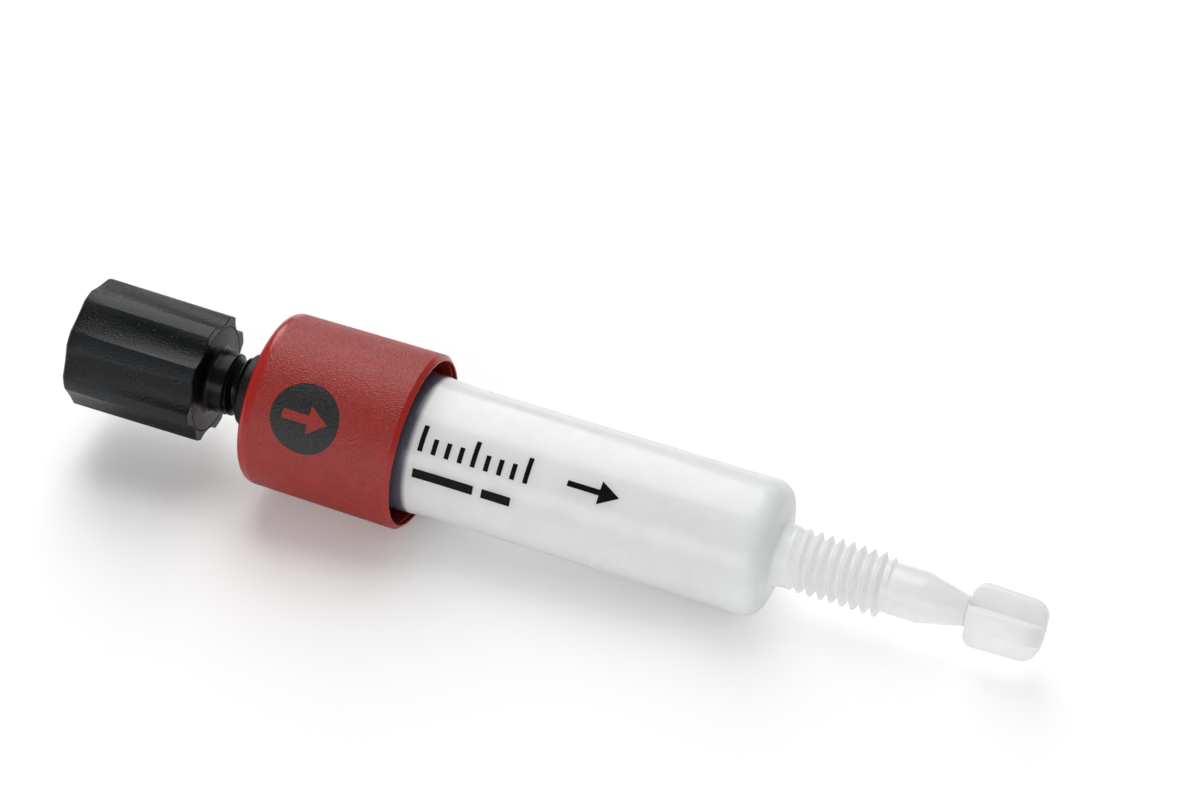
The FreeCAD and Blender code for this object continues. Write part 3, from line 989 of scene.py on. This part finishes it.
@dataclass
class Collar(Drawn):
    """The red collar: drafted skirt, rounded inlet edge, bevelled lip and inner bead."""

    title = "collar_moulding"
    finish = Finish.COLLAR
    hole: float = 2.82
    hole_round: float = 0.08
    inlet: float = 6.44
    inlet_round: float = 0.8
    mouth: float = 6.56
    mouth_round: float = 0.06
    bore: float = 6.15
    lip: float = 0.3
    lip_rise: float = 0.12
    bead: float = 0.35
    bead_start: float = -5.72
    bead_end: float = -7.17
    steps: int = 160

    def shape(self, bm: BMesh) -> None:
        """Spins the collar's closed section."""
        crest = self.bore - self.bead
        lathe(bm, rounded([
            (At.COLLAR_WALL, self.hole), (At.COLLAR_INLET, self.hole, self.hole_round),
            (At.COLLAR_INLET, self.inlet, self.inlet_round),
            (At.MOUTH, self.mouth, self.mouth_round),
            (self.lip, self.bore + self.lip_rise, Fit.FINE), (self.lip, self.bore, Fit.FINE),
            (self.bead_start, self.bore), (self.bead_start - self.bead, crest), (self.bead_end, crest),
            (self.bead_end, self.bore), (At.COLLAR_WALL, self.bore, Fit.EDGE),
            (At.COLLAR_WALL, self.hole),
        ], 8), self.steps)


@dataclass
class Adapter(Drawn):
    """The black inlet adapter: boss with the port, flange, and spigot with its groove."""

    title = "adapter_moulding"
    finish = Finish.BOSS
    boss: float = 2.72
    boss_round: float = 0.33
    spigot: float = 3.45
    groove: float = 2.4
    seal_at: float = -5.3
    groove_half: float = 0.58
    steps: int = 96

    def shape(self, bm: BMesh) -> None:
        """Spins the adapter's closed section."""
        near, far = self.seal_at - self.groove_half, self.seal_at + self.groove_half
        lathe(bm, rounded([
            (At.PORT_FLOOR, Fit.CHANNEL), (At.PORT_FLOOR, Fit.PORT),
            (At.BOSS, Fit.PORT, Fit.FINE), (At.BOSS, self.boss, self.boss_round),
            (At.COLLAR_WALL, self.boss), (At.COLLAR_WALL, Fit.FLANGE, Fit.EDGE),
            (At.SEAT, Fit.FLANGE, Fit.EDGE), (At.SEAT, self.spigot),
            (near, self.spigot), (near, self.groove), (far, self.groove), (far, self.spigot),
            (At.MOUTH, self.spigot, Fit.SOFT), (At.MOUTH, Fit.CHANNEL),
            (At.PORT_FLOOR, Fit.CHANNEL),
        ]), self.steps)


@dataclass
class PlugCore(Drawn):
    """The plug's glossy core: spindle, head disc, filleted shank, thread and tip."""

    title = "plug_core_turning"
    body = CORE
    finish = Finish.CORE
    shank: float = 2.3
    thread_neck: float = 2.15
    fillet: float = 0.45
    head_round: float = 0.06
    seam: float = 0.02
    thread_fade: float = 0.6
    nose: float = 1.74
    tip: float = 1.2
    tip_at: float = -7.3
    thread_end: float = -8.1
    phase: float = 42.0
    steps: int = 96

    def shape(self, bm: BMesh) -> None:
        """Joins the head and shank, the thread and the tip."""
        lathe(bm, rounded([
            (At.SPINDLE_END, 0.0), (At.SPINDLE_END, Fit.SPINDLE, Fit.SOFT),
            (At.HEAD_BACK, Fit.SPINDLE), (At.HEAD_BACK, Fit.HEAD),
            (At.HEAD, Fit.HEAD, self.head_round), (At.HEAD, self.shank, self.fillet),
            (At.SHANK_END, self.shank), (At.SHANK_END, self.thread_neck),
        ]), self.steps)
        start = At.SHANK_END + self.seam
        thread = ScrewThread(start, self.thread_end, Fit.PLUG_MAJOR, self.phase, self.thread_neck,
                             fade=self.thread_fade, run_out=Fit.PITCH)
        join(bm, thread.build())
        bmesh.ops.bridge_loops(bm, edges=ring_at(bm, At.SHANK_END) + ring_at(bm, start))
        nose_start = self.thread_end + self.seam
        nose = bmesh.new()
        lathe(nose, [(nose_start, self.nose), (self.tip_at, self.tip), (self.tip_at, 0.0)], self.steps)
        join(bm, nose)
        bmesh.ops.bridge_loops(bm, edges=ring_at(bm, self.thread_end) + ring_at(bm, nose_start))


@dataclass
class PlugKnob(Drawn):
    """The fluted knob: flutes that grow shallow towards the outer end, and its stepped socket."""

    title = "knob_moulding"
    body = KNOB
    finish = Finish.KNOB
    sharp = 25.0
    flutes: int = 8
    land: float = 13.5
    depth: float = 0.6
    end_depth: float = 0.23
    radius: float = 4.73
    draft: float = 0.08
    chamfer: float = 0.2
    sink: float = 0.02
    soft: float = 0.03
    ease: float = 0.04
    face_round: float = 0.06
    socket_edge: float = 0.001
    roll: float = 4.5
    bands: int = 8
    segments: int = 160

    def outline(self, angle: float, share: float) -> float:
        """The knob's radius.

        Args:
            angle: the place round the knob, in radians from the middle of a land.
            share: the place along the knob, from 0 at the stem end to 1 at the outer end.

        Returns:
            The radius in mm.
        """
        crest = self.radius + self.draft * share
        depth = self.depth + (self.end_depth - self.depth) * share
        pitch = tau / self.flutes
        offset = abs((angle + pitch / 2) % pitch - pitch / 2)
        half_gap = (pitch - radians(self.land)) / 2
        from_middle = pitch / 2 - offset
        if from_middle >= half_gap - WELD / 10:
            return crest
        floor = crest - depth
        chord = crest * sin(half_gap)
        sagitta = crest * cos(half_gap) - floor
        arc = (chord ** 2 + sagitta ** 2) / (2 * sagitta)
        centre = floor + arc
        reach = sqrt(arc ** 2 - (centre * sin(from_middle)) ** 2)
        return centre * cos(from_middle) - copysign(reach, arc)

    def rings(self) -> list[tuple[float, float]]:
        """Places along the knob, each with how far outside the outline its ring lies."""
        end, wide = At.KNOB_END, self.chamfer
        rim = [(end, -wide - self.sink), (end + self.soft, -wide + self.soft),
               (end + wide - self.ease, -self.soft), (end + wide + self.ease, 0.0)]
        length = At.HEAD - end
        middle = [(end + length * part / self.bands, 0.0) for part in range(1, self.bands)]
        return rim + middle + [(At.HEAD - self.face_round, 0.0), (At.HEAD, -self.face_round)]

    def shape(self, bm: BMesh) -> None:
        """Draws the fluted outline along the axis, caps the outer end and opens the socket."""
        verts = bmesh.ops.create_circle(bm, cap_ends=False, radius=1.0, segments=self.segments)["verts"]
        bmesh.ops.rotate(bm, cent=(0, 0, 0), matrix=Matrix.Rotation(pi / 2, 3, "Y"), verts=verts)
        rings = self.rings()
        self.place(verts, *rings[0])
        last = bm.edges[:]
        for along, offset in rings[1:]:
            drawn = bmesh.ops.extrude_edge_only(bm, edges=last)["geom"]
            last = [part for part in drawn if isinstance(part, BMEdge)]
            self.place([part for part in drawn if isinstance(part, BMVert)], along, offset)
        bmesh.ops.contextual_create(bm, geom=ring_at(bm, At.KNOB_END))
        head, spindle = Fit.HEAD + Fit.GAP, Fit.SPINDLE + Fit.GAP
        back, bottom = At.HEAD_BACK - Fit.GAP, At.SPINDLE_END - Fit.GAP
        socket = bmesh.new()
        lathe(socket, rounded([(At.HEAD - self.socket_edge, head), (back, head), (back, spindle),
                               (bottom, spindle), (bottom, 0.0)]), self.segments)
        join(bm, socket)
        bmesh.ops.bridge_loops(bm, edges=ring_at(bm, At.HEAD))

    def place(self, verts: list[BMVert], along: float, offset: float) -> None:
        """Puts a ring of vertices on the fluted outline.

        Args:
            verts: the ring.
            along: its place along the axis.
            offset: how far outside the outline it lies.
        """
        share = (At.HEAD - along) / (At.HEAD - At.KNOB_END)
        for vert in verts:
            angle = atan2(-vert.co.y, vert.co.z)
            radius = self.outline(angle - radians(self.roll), share) + offset
            vert.co = Vector((along, -radius * sin(angle), radius * cos(angle)))


class Inside:
    """The pieces inside the barrel that keep their solids."""

    def dress(self) -> None:
        """Gives the bed, the frits and the seal their finishes."""
        for node, finish in (("packed_bed", Finish.BED), ("top_frit", Finish.FRIT),
                             ("bottom_frit", Finish.FRIT), ("adapter_seal", Finish.SEAL)):
            finish.dress(frame["nodes"][node])
            LOG.info("%s dressed", node)


@dataclass(frozen=True)
class Softbox:
    """One rectangular lamp that faces the column; metres and watts."""

    name: str
    place: tuple[float, float, float]
    size: tuple[float, float]
    power: float

    def hang(self) -> None:
        """Hangs the lamp in the scene."""
        data = bpy.data.lights.new(self.name, "AREA")
        data.shape = "RECTANGLE"
        data.size, data.size_y = self.size
        data.energy = self.power
        made = bpy.data.objects.new(self.name, data)
        made.location = self.place
        made.rotation_euler = (-Vector(self.place)).to_track_quat("-Z", "Y").to_euler()
        bpy.context.scene.collection.objects.link(made)


@dataclass
class Studio:
    """The pale table, the white surround, the soft lamps and the camera.

    The camera's turn and height are in degrees; right, down and depth say, in mm, where the
    collar's mouth lies in its view. The table's sizes are in metres: its own glow, which only the
    camera sees, is faint where the shadows fall and full white from white_from on.
    """

    lens: float = 111.0
    sensor: float = 36.0
    turn: float = 21.40
    height: float = 40.29
    depth: float = 266.609
    right: float = -12.985
    down: float = 3.095
    daylight: float = 0.3
    table_reach: float = 1.5
    table_colour: Colour = (0.96, 0.96, 0.96, 1.0)
    table_roughness: float = 0.9
    near_glow: float = 0.16
    shadow_reach: float = 0.033
    white_from: float = 0.14
    lamps: tuple[Softbox, ...] = (Softbox("overhead_softbox", (-0.10, 0.18, 0.31), (0.24, 0.5), 1.2),
                                  Softbox("front_fill", (0.02, -0.42, 0.11), (0.5, 0.2), 0.7))

    def camera(self) -> None:
        """Stands the camera where the photograph was taken from."""
        data = bpy.data.cameras.new("camera")
        data.lens = self.lens
        data.sensor_width = self.sensor
        data.clip_start = 0.01
        made = bpy.data.objects.new("camera", data)
        made.rotation_euler = (radians(90 - self.height), 0.0, radians(self.turn))
        axes = made.rotation_euler.to_matrix()
        aim = axes @ Vector((self.right, -self.down, -self.depth)) * MM
        made.location = MOUTH - aim
        bpy.context.scene.collection.objects.link(made)
        bpy.context.scene.camera = made

    def surround(self) -> None:
        """A plain white world at a soft level, white to the camera and through clear plastic."""
        world = bpy.data.worlds.new("surround")
        bpy.context.scene.world = world
        world.use_nodes = True
        shader = Shader(world.node_tree)
        path = shader.node("ShaderNodeLightPath")
        seen = shader.math("MAXIMUM", path.outputs["Is Camera Ray"], path.outputs["Is Transmission Ray"])
        background = world.node_tree.nodes["Background"]
        shader.feed_all(background, {
            "Color": WHITE, "Strength": shader.ramp(seen, 0.0, 1.0, self.daylight, 1.0)})

    def table(self) -> None:
        """A wide pale table that keeps the column's shadow."""
        bm = bmesh.new()
        bmesh.ops.create_grid(bm, x_segments=1, y_segments=1, size=self.table_reach)
        mesh = bpy.data.meshes.new("table")
        bm.to_mesh(mesh)
        bm.free()
        made = bpy.data.objects.new("table", mesh)
        bpy.context.scene.collection.objects.link(made)
        material, shader, surface = Shader.material("pale_table")
        seen = shader.node("ShaderNodeLightPath").outputs["Is Camera Ray"]
        away = shader.node("ShaderNodeVectorMath", operation="LENGTH")
        shader.feed(away.inputs[0], shader.node("ShaderNodeTexCoord").outputs["Object"])
        glow = shader.ramp(away.outputs["Value"], self.shadow_reach, self.white_from, self.near_glow, 1.0)
        shader.feed_all(surface, {
            "Base Color": self.table_colour, "Roughness": self.table_roughness, "Specular IOR Level": 0.0,
            "Emission Color": WHITE, "Emission Strength": shader.math("MULTIPLY", seen, glow)})
        mesh.materials.append(material)

    def build(self) -> None:
        """Builds the studio."""
        self.camera()
        self.surround()
        self.table()
        for lamp in self.lamps:
            lamp.hang()


def corners(box: tuple) -> list[list[float]]:
    """A box as plain lists of numbers."""
    return [[float(part) for part in corner] for corner in box]


def main() -> None:
    """Builds the column's pieces in order, dresses them and sets the studio."""
    logging.basicConfig(level=logging.INFO, format="%(name)s: %(message)s")
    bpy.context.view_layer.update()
    scene = bpy.context.scene
    scene.view_settings.view_transform = "Standard"
    for sub_assembly, node in ((Barrel(), "barrel"), (Collar(), "locking_collar"),
                               (Adapter(), "inlet_adapter"), (PlugCore(), "plug_core"),
                               (PlugKnob(), "plug_knob")):
        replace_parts(sub_assembly.build(), node)
    BarrelPrint().build()
    Inside().dress()
    Studio().build()


if __name__ == "__main__":
    main()
